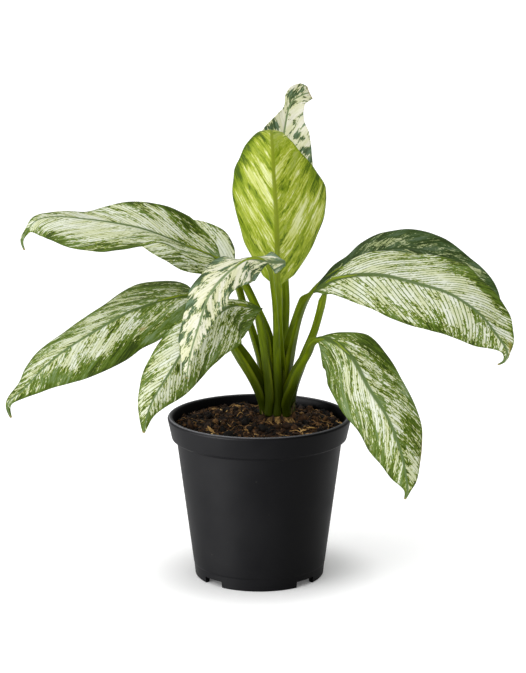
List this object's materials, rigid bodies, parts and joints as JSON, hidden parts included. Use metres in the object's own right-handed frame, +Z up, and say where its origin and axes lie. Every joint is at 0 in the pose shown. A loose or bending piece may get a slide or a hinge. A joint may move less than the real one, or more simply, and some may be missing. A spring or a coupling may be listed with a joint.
{
  "type": "potted peace lily",
  "caption": "Variegated peace lily with arching cream and green leaves on slender stalks, rooted in soil in a round black nursery pot with a stepped rim and drain holes.",
  "frame": {"origin": "on the pot's axis, in the plane that the pot's foot ring stands on", "axes": "+Z up out of the pot, -Y towards the side the upright yellow-green leaf faces, +X to the right seen from that side"},
  "size_m": [0.3272, 0.1258, 0.3174],
  "materials": {
    "pot_plastic": "satin black moulded plastic",
    "soil": "dark crumbly potting mix with fibres",
    "root_crown": "tan root bark",
    "stalk": "smooth satin green stalk, darker at the foot",
    "blade_lime": "satin yellow-green leaf with pale streaks",
    "blade_cream": "satin leaf, mostly cream with green marks",
    "blade_streaked": "satin leaf with green veins and cream streaks",
    "blade_dark": "satin dark green leaf with few pale flecks"
  },
  "bodies": {
    "root": {"pot": "pot_plastic", "soil": "soil", "crown": "root_crown", "top_blade": "blade_lime", "top_stalk": "stalk", "crest_blade": "blade_cream", "crest_stalk": "stalk", "far_left_blade": "blade_streaked", "far_left_stalk": "stalk", "behind_left_blade": "blade_streaked", "behind_left_stalk": "stalk", "mid_left_blade": "blade_streaked", "mid_left_stalk": "stalk", "low_left_blade": "blade_streaked", "low_left_stalk": "stalk", "twisted_blade": "blade_cream", "twisted_stalk": "stalk", "upper_right_blade": "blade_dark", "upper_right_stalk": "stalk", "broad_right_blade": "blade_streaked", "broad_right_stalk": "stalk", "low_right_blade": "blade_streaked", "low_right_stalk": "stalk"}
  },
  "joints": []
}
